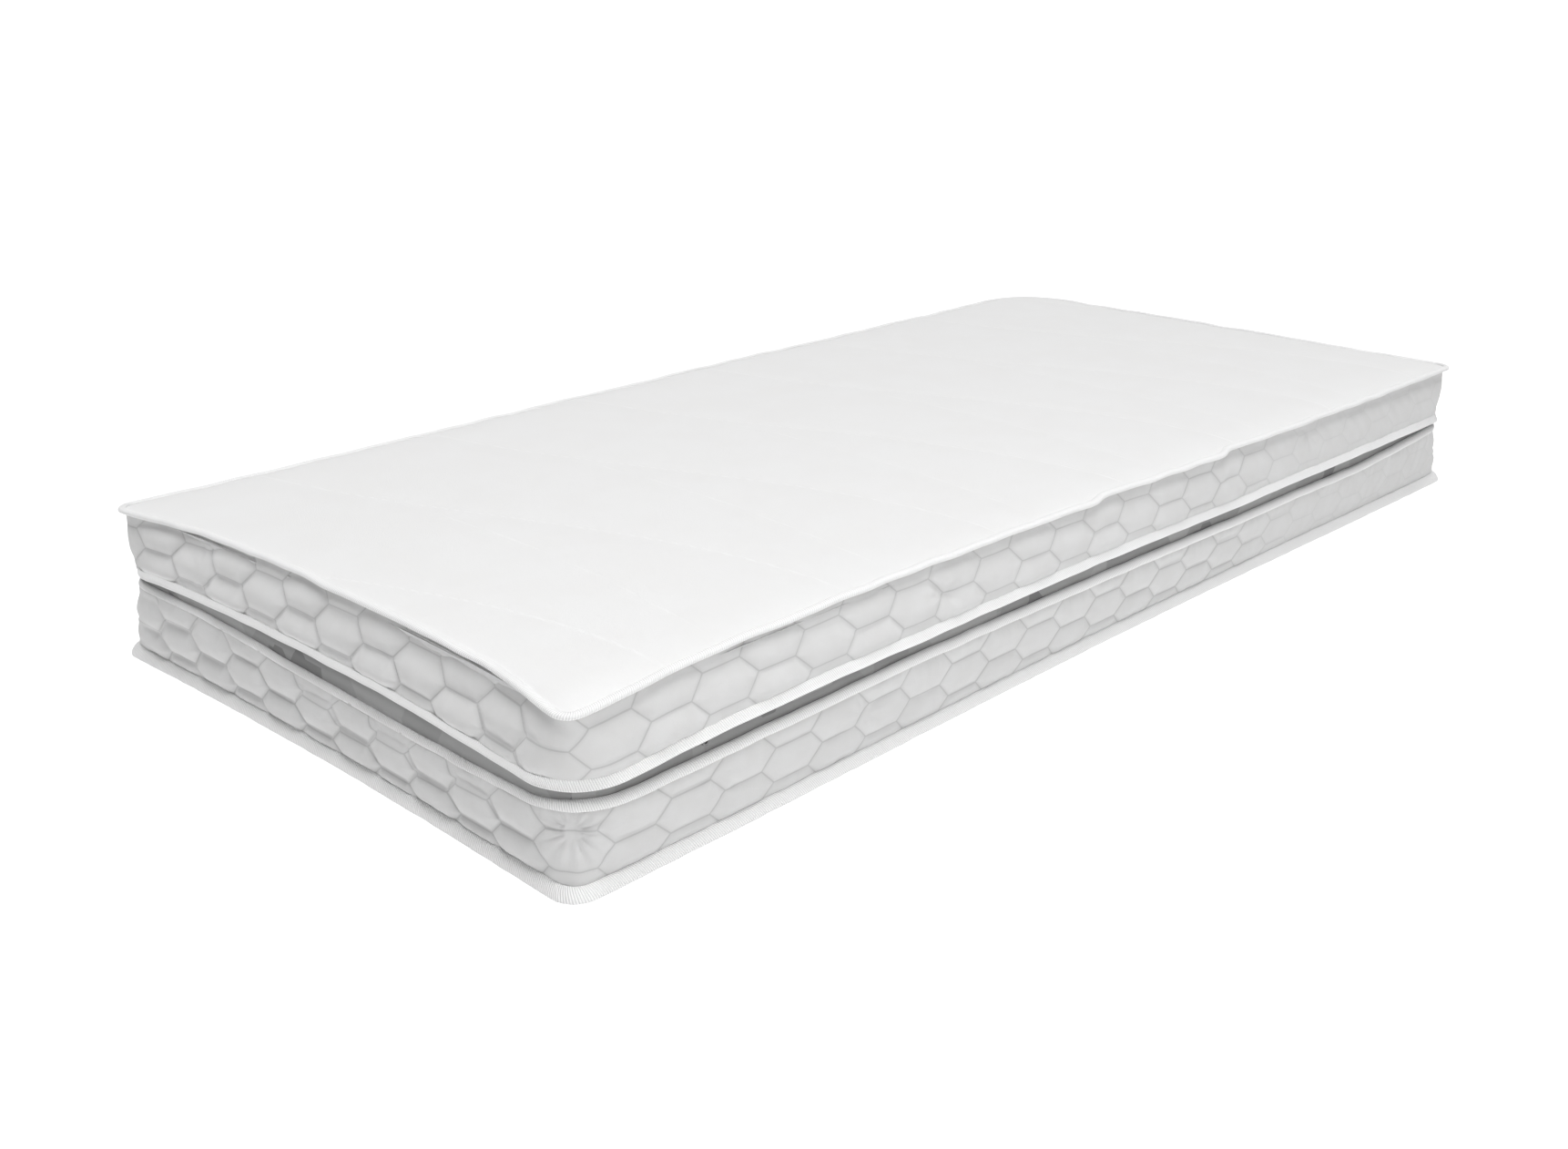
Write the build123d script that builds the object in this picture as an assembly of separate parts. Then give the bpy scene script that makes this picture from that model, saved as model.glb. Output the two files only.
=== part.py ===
"""Memory foam mattress, 90 x 190 x 20 cm, in a quilted cover that zips apart round all four sides.

Millimetres, +Z up, +X along the length. The origin is the middle of the underside.
The cover has two halves. The lower half is a tray: bottom panel, lower border, a ribbed tape and a
recessed dark gusset that carries one zip tape. The upper half is a lid: top panel, upper border
and a ribbed flap tape that hides the zip. Between them lies a core of three foams in a stretch
liner. The zip's slider is parked on the front side, near a corner, and its tab hangs on a rivet.
"""
from build123d import *
import os

os.makedirs("parts", exist_ok=True)

# Overall size, over the edge bindings
LENGTH = 1900.0
WIDTH = 900.0
HEIGHT = 200.0

# Plan outline at the underside, at the waist where the zip is, and at the top edge
BOTTOM_RADIUS = 40.0
WAIST_INSET = 6.0
WAIST_RADIUS = 70.0
TOP_INSET = 8.0
TOP_RADIUS = 30.0

# Quilted border: knit face, fibre wadding and thin backing, from the outside in
FACE = 1.2
WADDING = 6.0
BACKING = 0.8
BORDER = FACE + WADDING + BACKING

# Top and bottom panels
TOP_PANEL = 11.0
TOP_BEVEL = 4.0
TOP_SHOULDER = 6.0
BOTTOM_FACE = 1.5
BOTTOM_WADDING = 4.0
BOTTOM_PANEL = BOTTOM_FACE + BOTTOM_WADDING

# Ribbed bindings over the top and bottom edges
BINDING_HEIGHT = 13.0
TOP_BINDING_DEPTH = 6.0
BOTTOM_BINDING_DEPTH = 5.0
BINDING_BEVEL = 2.0
TOP_BINDING_UP = HEIGHT - 3.0

# Waist: levels of the two borders, the two tapes, the gusset and the zip
LOWER_BORDER_TOP = 98.0
UPPER_BORDER_BOTTOM = 131.0
WAIST_LOW = 88.0
WAIST_HIGH = 142.0
LOWER_TAPE_BOTTOM = 90.5
LOWER_TAPE_TOP = 101.5
FLAP_BOTTOM = 117.0
FLAP_TOP = 132.5
TAPE = 1.6
GUSSET = 1.2
GUSSET_TOP = 120.8
ZIP_HEIGHT = 126.0

# Coil zip: tapes 0.8 thick behind the borders, a chain 6 wide, and a slider round it
ZIP_TAPE = 0.8
UPPER_ZIP_TAPE_TOP = 141.0
LOWER_ZIP_TAPE_BOTTOM = 106.0
CHAIN_WIDTH = 6.0
CHAIN_THICKNESS = 2.6
CHAIN_SPLIT = 1.6
RUN = 0.35
SLIDER_X = -765.0
SLIDER_LENGTH = 12.0
WING = 1.1
LIP = 1.1
SLOT = 1.6
DIAMOND_LENGTH = 4.0
DIAMOND_HEIGHT = 1.0
SLIDER_CORNER = 2.0
STOP_LENGTH = 4.0
CHAIN_GAP = 6.0

# Pull tab, hanging on a rivet that stands on the slider
TAB_LENGTH = 16.0
TAB_EYE_RADIUS = 3.0
TAB_END_RADIUS = 5.0
TAB_HOLE_RADIUS = 2.6
TAB_NECK = 4.6
TAB = 1.2
RIVET_RADIUS = 1.5
RIVET_RUN = 0.08
RIVET_HEAD_RADIUS = 2.4
RIVET_HEAD = 0.8
TAB_STANDOFF = 1.2
TAB_SIDE_PLAY = 0.15

# Core: foams from the top down, in a knitted liner
CORE_DEPTH = 17.5
CORE_CLEARANCE = 0.5
LINER = 1.25
MEMORY_FOAM = 50.0
TRANSITION_FOAM = 30.0

NOTHING = 0.0


def outline(z, inset, radius):
    """Plan outline of the mattress at height z, drawn in by inset."""
    return Pos(0, 0, z) * RectangleRounded(LENGTH - 2 * inset, WIDTH - 2 * inset, radius)


def block(levels, depth=NOTHING):
    """Solid through the outlines in levels, each (z, inset, radius), drawn in by depth."""
    faces = [outline(z, inset + depth, radius - depth) for z, inset, radius in levels]
    return loft(faces, ruled=True)


def ring(levels, outer, inner):
    """Band round the mattress, from outer to inner behind the outlines in levels."""
    return block(levels, outer) - block(levels, inner)


def waist(low, high):
    """Levels of a straight stretch of the waist."""
    return [(low, WAIST_INSET, WAIST_RADIUS), (high, WAIST_INSET, WAIST_RADIUS)]


def front(depth):
    """Y at a depth behind the waist's outline, on the front side."""
    return -WIDTH / 2 + WAIST_INSET + depth


def bar(x, depth, z, length, thickness, height):
    """Box on the front side: x and z are its middle, depth its outer face."""
    return Pos(x, front(depth + thickness / 2), z) * Box(length, thickness, height)


def disc(x, depth, z, radius, thickness):
    """Round plate on the front side, facing out, with its outer face at depth."""
    return Pos(x, front(depth + thickness / 2), z) * Rot(90, 0, 0) * Cylinder(radius, thickness)


def binding(low, high, inset, radius, depth):
    """Tape folded over an edge seam, all the way round, with bevelled outer corners."""
    bevel = BINDING_BEVEL
    outer = block(
        [
            (low, inset + bevel, radius - bevel),
            (low + bevel, inset, radius),
            (high - bevel, inset, radius),
            (high, inset + bevel, radius - bevel),
        ]
    )
    return outer - block([(low, inset, radius), (high, inset, radius)], depth)


# Lower half of the cover
bottom_inset = BOTTOM_BINDING_DEPTH
bottom_radius = BOTTOM_RADIUS - BOTTOM_BINDING_DEPTH
lower_levels = [
    (BOTTOM_PANEL, bottom_inset, bottom_radius),
    (BINDING_HEIGHT, bottom_inset, bottom_radius),
    (WAIST_LOW, WAIST_INSET, WAIST_RADIUS),
    (LOWER_BORDER_TOP, WAIST_INSET, WAIST_RADIUS),
]

bottom_panel_face = block(
    [(NOTHING, bottom_inset, bottom_radius), (BOTTOM_FACE, bottom_inset, bottom_radius)]
)
bottom_panel_wadding = block(
    [(BOTTOM_FACE, bottom_inset, bottom_radius), (BOTTOM_PANEL, bottom_inset, bottom_radius)]
)
bottom_edge_binding = binding(
    NOTHING, BINDING_HEIGHT, NOTHING, BOTTOM_RADIUS, BOTTOM_BINDING_DEPTH
)
lower_border_face = ring(lower_levels, NOTHING, FACE)
lower_border_wadding = ring(lower_levels, FACE, FACE + WADDING)
lower_border_backing = ring(lower_levels, FACE + WADDING, BORDER)
lower_tape = ring(waist(LOWER_TAPE_BOTTOM, LOWER_TAPE_TOP), -TAPE, NOTHING)
gusset_band = ring(waist(LOWER_BORDER_TOP, GUSSET_TOP), BORDER - GUSSET, BORDER)

# Upper half of the cover
top_inset = TOP_INSET + TOP_BINDING_DEPTH
top_radius = TOP_RADIUS - TOP_BINDING_DEPTH
panel_bottom = HEIGHT - TOP_PANEL
top_binding_low = TOP_BINDING_UP - BINDING_HEIGHT
upper_levels = [
    (UPPER_BORDER_BOTTOM, WAIST_INSET, WAIST_RADIUS),
    (WAIST_HIGH, WAIST_INSET, WAIST_RADIUS),
    (top_binding_low, top_inset, top_radius),
    (panel_bottom, top_inset, top_radius),
]


def panel_block(low, high, depth):
    """Top panel filling with bevelled shoulders, drawn in by depth."""
    shoulder = high - TOP_BEVEL
    return block(
        [
            (low, top_inset, top_radius),
            (shoulder, top_inset, top_radius),
            (high, top_inset + TOP_SHOULDER, top_radius - TOP_SHOULDER),
        ],
        depth,
    )


backing_top = panel_bottom + BACKING
top_panel_backing = block(
    [(panel_bottom, top_inset, top_radius), (backing_top, top_inset, top_radius)]
)
top_panel_wadding = panel_block(backing_top, HEIGHT - FACE, FACE)
top_panel_face = panel_block(backing_top, HEIGHT, NOTHING) - top_panel_wadding
top_edge_binding = binding(
    top_binding_low, TOP_BINDING_UP, TOP_INSET, TOP_RADIUS, TOP_BINDING_DEPTH
)
upper_border_face = ring(upper_levels, NOTHING, FACE)
upper_border_wadding = ring(upper_levels, FACE, FACE + WADDING)
upper_border_backing = ring(upper_levels, FACE + WADDING, BORDER)
flap_tape = ring(waist(FLAP_BOTTOM, FLAP_TOP), -TAPE, NOTHING)

# Zip: its tapes lie behind the borders, and the slider's diamond runs in the chain's split
chain_top = ZIP_HEIGHT + CHAIN_WIDTH / 2
chain_bottom = ZIP_HEIGHT - CHAIN_WIDTH / 2
split_top = ZIP_HEIGHT + CHAIN_SPLIT / 2
split_bottom = ZIP_HEIGHT - CHAIN_SPLIT / 2
tape_middle = BORDER + ZIP_TAPE / 2
chain_outer = tape_middle - CHAIN_THICKNESS / 2
chain_inner = tape_middle + CHAIN_THICKNESS / 2
slider_rear = SLIDER_X + SLIDER_LENGTH / 2
slider_front = SLIDER_X - SLIDER_LENGTH / 2
upper_chain_end = slider_front - RUN - STOP_LENGTH
loop_end = upper_chain_end - CHAIN_GAP


def chain_cut(start, end):
    """Box that opens the zip's loop on the front side, from x start to x end."""
    middle = (start + end) / 2
    depth = chain_outer - CHAIN_THICKNESS
    return bar(middle, depth, ZIP_HEIGHT, end - start, 3 * CHAIN_THICKNESS, 2 * CHAIN_WIDTH)


upper_zip_tape = ring(waist(chain_top, UPPER_ZIP_TAPE_TOP), BORDER, BORDER + ZIP_TAPE)
lower_zip_tape = ring(waist(LOWER_ZIP_TAPE_BOTTOM, chain_bottom), BORDER, BORDER + ZIP_TAPE)
upper_zip_coil = ring(waist(split_top, chain_top), chain_outer, chain_inner)
upper_zip_coil -= chain_cut(loop_end, upper_chain_end + STOP_LENGTH)
lower_zip_coil = ring(waist(chain_bottom, split_bottom), chain_outer, chain_inner)
lower_zip_coil -= chain_cut(loop_end, slider_rear + RUN)
zip_end_stop = bar(
    upper_chain_end + STOP_LENGTH / 2,
    chain_outer,
    (split_top + chain_top) / 2,
    STOP_LENGTH,
    CHAIN_THICKNESS,
    chain_top - split_top,
)

# Slider: an outer and an inner wing with lips along both edges, joined by the diamond
channel_outer = chain_outer - RUN
channel_inner = chain_inner + RUN
channel_height = CHAIN_WIDTH + 2 * RUN
slider_height = channel_height + 2 * LIP
slider_outer = channel_outer - WING
slider_depth = channel_inner - channel_outer + 2 * WING
slider_blank = bar(SLIDER_X, slider_outer, ZIP_HEIGHT, SLIDER_LENGTH, slider_depth, slider_height)
slider_blank = fillet(slider_blank.edges().filter_by(Axis.Y), SLIDER_CORNER)
channel = bar(
    SLIDER_X, channel_outer, ZIP_HEIGHT, 2 * SLIDER_LENGTH, channel_inner - channel_outer, channel_height
)
tape_slot = bar(
    SLIDER_X, tape_middle - SLOT / 2, ZIP_HEIGHT, 2 * SLIDER_LENGTH, SLOT, 2 * slider_height
)
diamond = bar(
    slider_front + DIAMOND_LENGTH,
    channel_outer,
    ZIP_HEIGHT,
    DIAMOND_LENGTH,
    channel_inner - channel_outer,
    DIAMOND_HEIGHT,
)
slider_body = slider_blank - channel - tape_slot + diamond

# Rivet and tab: the tab turns on the rivet in its own plane
tab_depth = slider_outer - TAB_STANDOFF - TAB
rivet_end = tab_depth - TAB_SIDE_PLAY
pull_rivet = disc(SLIDER_X, rivet_end, ZIP_HEIGHT, RIVET_RADIUS, slider_outer - rivet_end)
pull_rivet += disc(SLIDER_X, rivet_end - RIVET_HEAD, ZIP_HEIGHT, RIVET_HEAD_RADIUS, RIVET_HEAD)

tab_end = ZIP_HEIGHT - TAB_LENGTH
tab_middle = (ZIP_HEIGHT + tab_end) / 2
pull_tab = disc(SLIDER_X, tab_depth, ZIP_HEIGHT, TAB_EYE_RADIUS, TAB)
pull_tab += disc(SLIDER_X, tab_depth, tab_end, TAB_END_RADIUS, TAB)
pull_tab += bar(SLIDER_X, tab_depth, tab_middle, TAB_NECK, TAB, TAB_LENGTH)
pull_tab -= disc(SLIDER_X, tab_depth, ZIP_HEIGHT, RIVET_RADIUS + RIVET_RUN, TAB)
pull_tab -= disc(SLIDER_X, tab_depth, tab_end, TAB_HOLE_RADIUS, TAB)

# Core: three foams glued in a stack, in a knitted liner that is closed all round
liner_bottom = BOTTOM_PANEL + CORE_CLEARANCE
liner_top = panel_bottom - CORE_CLEARANCE
foam_bottom = liner_bottom + LINER
foam_top = liner_top - LINER
memory_bottom = foam_top - MEMORY_FOAM
transition_bottom = memory_bottom - TRANSITION_FOAM
foam_depth = CORE_DEPTH + LINER

memory_foam = block(waist(memory_bottom, foam_top), foam_depth)
transition_foam = block(waist(transition_bottom, memory_bottom), foam_depth)
support_foam = block(waist(foam_bottom, transition_bottom), foam_depth)
inner_liner = block(waist(liner_bottom, liner_top), CORE_DEPTH) - block(
    waist(foam_bottom, foam_top), foam_depth
)

pieces = {
    "bottom_panel_face": bottom_panel_face,
    "bottom_panel_wadding": bottom_panel_wadding,
    "bottom_edge_binding": bottom_edge_binding,
    "lower_border_face": lower_border_face,
    "lower_border_wadding": lower_border_wadding,
    "lower_border_backing": lower_border_backing,
    "lower_tape": lower_tape,
    "gusset_band": gusset_band,
    "lower_zip_tape": lower_zip_tape,
    "lower_zip_coil": lower_zip_coil,
    "support_foam": support_foam,
    "transition_foam": transition_foam,
    "memory_foam": memory_foam,
    "inner_liner": inner_liner,
    "top_panel_face": top_panel_face,
    "top_panel_wadding": top_panel_wadding,
    "top_panel_backing": top_panel_backing,
    "top_edge_binding": top_edge_binding,
    "upper_border_face": upper_border_face,
    "upper_border_wadding": upper_border_wadding,
    "upper_border_backing": upper_border_backing,
    "flap_tape": flap_tape,
    "upper_zip_tape": upper_zip_tape,
    "upper_zip_coil": upper_zip_coil,
    "zip_end_stop": zip_end_stop,
    "slider_body": slider_body,
    "pull_rivet": pull_rivet,
    "pull_tab": pull_tab,
}
for name, shape in pieces.items():
    export_step(shape, f"parts/{name}.step")
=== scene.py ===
"""Memory foam mattress: quilted cover, zip, liner and foams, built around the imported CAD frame.

Lengths are millimetres in the row frame, and become metres as each mesh is made. A place round the
mattress is p, the distance round its sharp-cornered outline: p is 0 at the near corner (-X, -Y),
then runs along the front (-Y), the right end, the back and the left end (-X).
"""
import math
import bpy
import numpy as np
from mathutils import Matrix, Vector


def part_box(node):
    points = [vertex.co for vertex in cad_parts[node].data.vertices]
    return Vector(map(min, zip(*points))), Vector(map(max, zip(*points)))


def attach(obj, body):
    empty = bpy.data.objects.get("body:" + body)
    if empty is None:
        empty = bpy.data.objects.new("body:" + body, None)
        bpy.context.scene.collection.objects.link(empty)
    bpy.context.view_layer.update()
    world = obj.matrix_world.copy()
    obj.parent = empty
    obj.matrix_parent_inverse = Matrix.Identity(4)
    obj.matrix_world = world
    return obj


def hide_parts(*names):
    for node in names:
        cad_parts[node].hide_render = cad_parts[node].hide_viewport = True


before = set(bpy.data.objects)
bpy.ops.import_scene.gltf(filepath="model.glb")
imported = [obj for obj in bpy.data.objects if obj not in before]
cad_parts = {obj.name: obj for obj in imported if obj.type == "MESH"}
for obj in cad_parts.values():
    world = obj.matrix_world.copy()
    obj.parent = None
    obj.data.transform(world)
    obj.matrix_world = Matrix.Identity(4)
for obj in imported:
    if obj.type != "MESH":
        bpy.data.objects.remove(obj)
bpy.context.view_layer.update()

MM = 0.001
scene = bpy.context.scene


def cad(node):
    """A CAD node's lowest and highest corners in millimetres."""
    low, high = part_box(node)
    return np.array(low) / MM, np.array(high) / MM


# ---------------------------------------------------------------- sizes

HALF_LENGTH, HALF_WIDTH = cad("bottom_edge_binding")[1][:2]
CROWN = cad("top_panel_face")[1][2]
WAIST_INSET = HALF_LENGTH - cad("upper_border_face")[1][0]
GUSSET_LOW, GUSSET_HIGH = cad("gusset_band")[0][2], cad("gusset_band")[1][2]
CORE_INSET = HALF_LENGTH - cad("inner_liner")[1][0]

WAIST_RADIUS = 70.0
TOP_INSET = 8.0
TOP_RADII = (20.0, 24.0, 115.0, 22.0)
BOTTOM_INSET = 3.2
BOTTOM_RADIUS = 28.0
CORNER_REACH = 140.0

# How far the waist and the bottom edge bow inwards in the middle of a long and of a short side
WAIST_BOW = (5.0, 17.0)
BOTTOM_BOW = (10.0, 10.0)

# The soft edges' courses round the mattress, as {place: value}; between these points each runs smoothly.
# The top seam stands highest along the sides and is pulled down at the corners.
TOP_SEAM = {
    -900: 195, -720: 199, -500: 201, -200: 200, 0: 193, 200: 200, 600: 201, 1200: 197, 1600: 193,
    1900: 195, 2350: 199, 2800: 196, 3750: 200,
}
# How far the top edge bows inwards: most in the middle of the left end
TOP_BOW = {
    -900: 0, -720: 20, -520: 26, -180: 20, -80: 14, 0: -1, 80: 1, 200: 6, 600: 8, 850: 6, 1200: 2,
    1600: 0, 1900: 0, 2350: 2, 2800: 0, 3750: 6,
}
# The zip gapes between the flap tape's lower edge and the lower tape's upper edge, and closes at the
# left and right corners.
FLAP_LOW = {
    -900: 112, -720: 115, -340: 112, -80: 107, 0: 108, 80: 112, 200: 118, 350: 120, 850: 119,
    1200: 113, 1900: 111, 2350: 114, 2800: 112, 3750: 114,
}
LOWER_TAPE_HIGH = {
    -900: 109, -720: 104, -520: 91, -340: 86, -180: 88, 0: 98, 80: 96, 200: 97, 500: 102, 850: 99,
    1200: 94, 1600: 92, 1820: 102, 1900: 109, 2350: 97, 2800: 109, 3750: 99,
}

# Places on the front side where the top edge jogs inwards, and by how much
JOGS = ((880.0, 8.0), (1180.0, 10.0))


# ---------------------------------------------------------------- plan outline

SIDE_LENGTHS = 2 * np.array([HALF_LENGTH, HALF_WIDTH, HALF_LENGTH, HALF_WIDTH])
SIDE_ENDS = np.cumsum(SIDE_LENGTHS)
SIDE_STARTS = SIDE_ENDS - SIDE_LENGTHS
PERIMETER = float(SIDE_ENDS[-1])
CORNERS = np.array([[-1, -1], [1, -1], [1, 1], [-1, 1]]) * [HALF_LENGTH, HALF_WIDTH]
TANGENTS = np.array([[1, 0], [0, 1], [-1, 0], [0, -1]])
NORMALS = np.array([[0, -1], [1, 0], [0, 1], [-1, 0]])


def locate(p):
    """Side, nearer corner, distance to it, and whether it is the side's far end."""
    p = np.mod(p, PERIMETER)
    side = np.searchsorted(SIDE_ENDS, p, side="right") % 4
    along = p - SIDE_STARTS[side]
    far_end = along > SIDE_LENGTHS[side] / 2
    corner = np.where(far_end, side + 1, side) % 4
    return side, corner, np.where(far_end, SIDE_LENGTHS[side] - along, along), far_end


def place(p, inset, radius, out, z):
    """Points at places p of a rounded outline, moved outwards by out, at height z."""
    p, inset, radius, out, z = np.broadcast_arrays(p, inset, radius, out, z)
    side, corner, near, far_end = locate(p)
    normal = NORMALS[side]
    tangent = np.where(far_end[..., None], -TANGENTS[side], TANGENTS[side])
    arc = radius * math.pi / 4
    walked = (arc + CORNER_REACH - inset - radius) * near / CORNER_REACH
    bent = (near < CORNER_REACH) & (walked < arc)
    turn = np.where(bent, math.pi / 4 - walked / radius, 0.0)
    straight = np.where(near < CORNER_REACH, walked - arc, near - inset - radius)
    straight = np.where(bent, 0.0, straight)
    facing = normal * np.cos(turn)[..., None] - tangent * np.sin(turn)[..., None]
    centre = CORNERS[corner] + (tangent - normal) * (inset + radius)[..., None]
    plan = centre + facing * (radius + out)[..., None] + tangent * straight[..., None]
    return np.concatenate([plan, z[..., None]], axis=-1)


def round_places(step):
    """Evenly spaced places all the way round."""
    count = round(PERIMETER / step)
    return np.arange(count) * PERIMETER / count


def nearness(p, reach):
    """1 at a corner, falling to 0 beyond about reach from it."""
    return np.exp(-((locate(p)[2] / reach) ** 2))


def course(points, blur=25.0):
    """A smooth line round the mattress through {place: value} points, as a function of the place."""
    grid = np.arange(0.0, PERIMETER, 10.0)
    rough = np.interp(grid, list(points), list(points.values()), period=PERIMETER)
    spectrum = np.fft.rfft(rough)
    turns = 2 * math.pi * np.arange(len(spectrum)) / PERIMETER
    smooth = np.fft.irfft(spectrum * np.exp(-0.5 * (turns * blur) ** 2), len(grid))
    return lambda p: np.interp(p, grid, smooth, period=PERIMETER)


def bow(p, depths):
    """How far a side bows inwards at p: depths are for the middle of a long and of a short side.

    A long side stays straighter towards its ends than a short one.
    """
    side, _, near, _ = locate(p)
    shape = np.sin(math.pi * near / SIDE_LENGTHS[side])
    return np.array(depths)[side % 2] * np.where(side % 2 == 0, shape ** 1.8, shape)


def shortness(p):
    """1 along the short sides, -1 along the long ones, and 0 at the corners."""
    side, _, near, _ = locate(p)
    return np.tanh(np.where(side % 2 == 1, near, -near) / 40.0)


def jog(p):
    """The jogs of the top edge: out before each one, and in after it."""
    total = 0.0 * p
    for centre, size in JOGS:
        total = total + size * 0.5 * np.tanh((p - centre) / 13.0) * np.exp(-np.abs(p - centre) / 110.0)
    return total


def waves(p, seed, size, longest, shortest):
    """Uneven waves round the mattress, with lengths from longest to shortest."""
    chance = np.random.default_rng(seed)
    total = 0.0
    for count in np.geomspace(PERIMETER / longest, PERIMETER / shortest, 7).round():
        phase = chance.uniform(0, 2 * math.pi)
        total = total + chance.uniform(0.4, 1.0) * np.sin(2 * math.pi * count * p / PERIMETER + phase)
    return size * total / 2.6


# ---------------------------------------------------------------- quilting

HEX_PITCH = 150.0
HEX_RISE = 42.0
HEX_TIP = 48.0
UPPER_CELLS = (-92.0, 44.0, 151.5, 150.0, 157.0)
LOWER_CELLS = (-69.0, 65.0, 148.5, 148.0, 28.0)
WAVE_PERIOD = 270.0


def cloth_length(p):
    """Distance along a border's cloth from the near corner: positive along the front side."""
    saved = 0.16 * CORNER_REACH
    p = np.mod(p, PERIMETER)
    turned = np.interp(
        p,
        np.concatenate([SIDE_STARTS, SIDE_ENDS - 1e-6]).reshape(2, 4).T.ravel(),
        (np.arange(4)[:, None] * 2 * saved + [0, 0]).ravel(),
    )
    _, _, near, far_end = locate(p)
    inside = saved * np.minimum(near / CORNER_REACH, 1)
    run = p - turned - np.where(far_end, 2 * saved - inside, inside)
    return np.where(p > PERIMETER / 2, run - PERIMETER + 8 * saved, run)


def cell_place(p, cells):
    """Place along the quilting, in cells HEX_PITCH long, with one at 0 on the front side."""
    on_end, on_front, end_pitch, front_pitch, _ = cells
    run = cloth_length(p)
    many = 25
    return np.interp(
        run,
        [on_end - many * end_pitch, on_end, on_front, on_front + many * front_pitch],
        [-(many + 1) * HEX_PITCH, -HEX_PITCH, 0.0, many * HEX_PITCH],
    )


def fold(value, half):
    """Distance to the nearest multiple of twice half."""
    return np.abs(np.mod(value + half, 2 * half) - half)


def hex_distance(u, v):
    """Distance to the nearest seam of the long hexagons; one is centred on (0, 0)."""
    along = fold(u, HEX_PITCH / 2)
    up = fold(v, HEX_RISE / 2)
    slant = (HEX_TIP - along - up) * math.sqrt(0.5)
    return np.maximum(np.minimum(slant, HEX_RISE / 2 - up), np.minimum(-slant, up))


def puff(distance, reach, power=2.3):
    """0 on a seam, rising steeply and then gently to 1 at reach from it."""
    return 1 - (1 - np.clip(distance / reach, 0, 1)) ** power


def wave_line(y):
    """Where a strong S-shaped line crosses, at y from the front side."""
    return 305.0 + 112.0 * np.cos(math.pi * (y - 80.0) / 860.0)


def arc_line(y):
    """Where a faint arc crosses: it leans on the next S-shaped line."""
    return 266.0 - 41.0 * ((425.0 - y) / 375.0) ** 2


def star(p, z, centre, height, arms, phase, size):
    """Gathered cloth that radiates from one tight stitch on a border."""
    dp = np.mod(p - centre + PERIMETER / 2, PERIMETER) - PERIMETER / 2
    dz = z - height
    distance = np.hypot(dp, dz)
    angle = np.arctan2(dz, dp)
    uneven = arms * angle + phase + 1.3 * np.sin(2 * angle + phase)
    rays = np.cos(uneven) * np.clip((distance - 3) / 12, 0, 1) * np.exp(-((distance / 44) ** 2))
    return size * (rays - 2.0 * np.exp(-((distance / 12) ** 2)))


# ---------------------------------------------------------------- materials

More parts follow.
